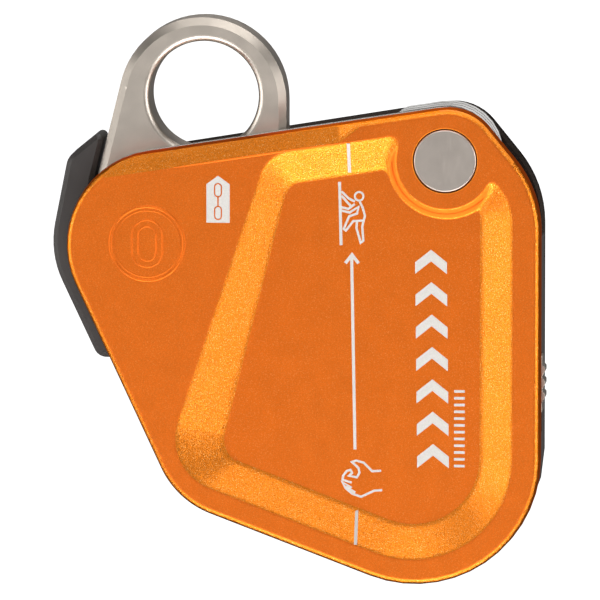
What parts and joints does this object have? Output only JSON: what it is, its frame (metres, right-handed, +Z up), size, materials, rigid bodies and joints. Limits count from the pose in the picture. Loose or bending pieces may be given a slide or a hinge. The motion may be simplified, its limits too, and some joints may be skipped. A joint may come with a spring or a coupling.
{
  "type": "belay device",
  "caption": "Assisted-braking belay device: orange swing plate with a recessed panel over a black back plate, a rope channel between them and a pivoting metal eye to hang it by.",
  "frame": {"origin": "centre of the arm's eye, at the middle of the arm's thickness to within 1.3 mm", "axes": "+Y out of the back plate, +Z up along the rope channel towards the climber, +X across the plates away from the arm"},
  "size_m": [0.0934, 0.0215, 0.1067],
  "materials": {
    "orange_anodised": "orange anodised aluminium, satin flats with finely blasted bevels",
    "black_anodised": "black anodised aluminium, fine matt grain",
    "dark_moulding": "dark filled nylon with a fine moulded grain",
    "satin_alloy": "bare aluminium alloy, fine satin grain",
    "polished_steel": "stainless steel, finely brushed",
    "bearing_bronze": "plain bearing bronze"
  },
  "bodies": {
    "arm": {"anchor_arm": "satin_alloy", "brake_shoe": "polished_steel", "shoe_pin_1": "polished_steel", "shoe_pin_2": "polished_steel", "arm_bush": "bearing_bronze"},
    "frame": {"back_plate": "black_anodised", "wear_plate": "polished_steel", "brake_plate_1": "polished_steel", "brake_plate_2": "polished_steel", "brake_plate_3": "polished_steel", "brake_dowel": "polished_steel", "stop_pin": "polished_steel", "inlet_bar_left": "polished_steel", "inlet_bar_right": "polished_steel", "arm_guard": "dark_moulding", "lower_guide": "dark_moulding", "side_spacer": "dark_moulding", "main_rivet": "polished_steel", "rivet_washer": "bearing_bronze", "rivet_bush": "bearing_bronze", "arm_pin": "polished_steel", "arm_washer": "bearing_bronze", "arm_spring": "polished_steel", "latch_spring": "polished_steel", "frame_screw_1": "polished_steel", "frame_screw_2": "polished_steel", "frame_screw_3": "polished_steel", "frame_screw_4": "polished_steel", "frame_screw_5": "polished_steel"},
    "swing_plate": {"front_plate": "orange_anodised", "front_liner": "polished_steel", "liner_rivet_1": "polished_steel", "liner_rivet_2": "polished_steel", "liner_rivet_3": "polished_steel"},
    "latch": {"latch_slider": "polished_steel"}
  },
  "joints": [
    {"name": "arm_pivot", "type": "hinge", "parent": "arm", "child": "frame", "pos_m": [-0.002, 0, -0.055], "axis": [0, -1, 0], "range_deg": [0, 12.5], "stiffness_Nm_per_rad": 0.4, "springref_deg": -11.46},
    {"name": "plate_swing", "type": "hinge", "parent": "frame", "child": "swing_plate", "pos_m": [0.0461, 0, -0.0113], "axis": [0, -1, 0], "range_deg": [0, 100]},
    {"name": "latch_slide", "type": "slide", "parent": "frame", "child": "latch", "axis": [0, 0, -1], "range_m": [0, 0.004], "stiffness_N_per_m": 300, "springref_m": -0.002, "deforming": ["latch_spring"]}
  ]
}
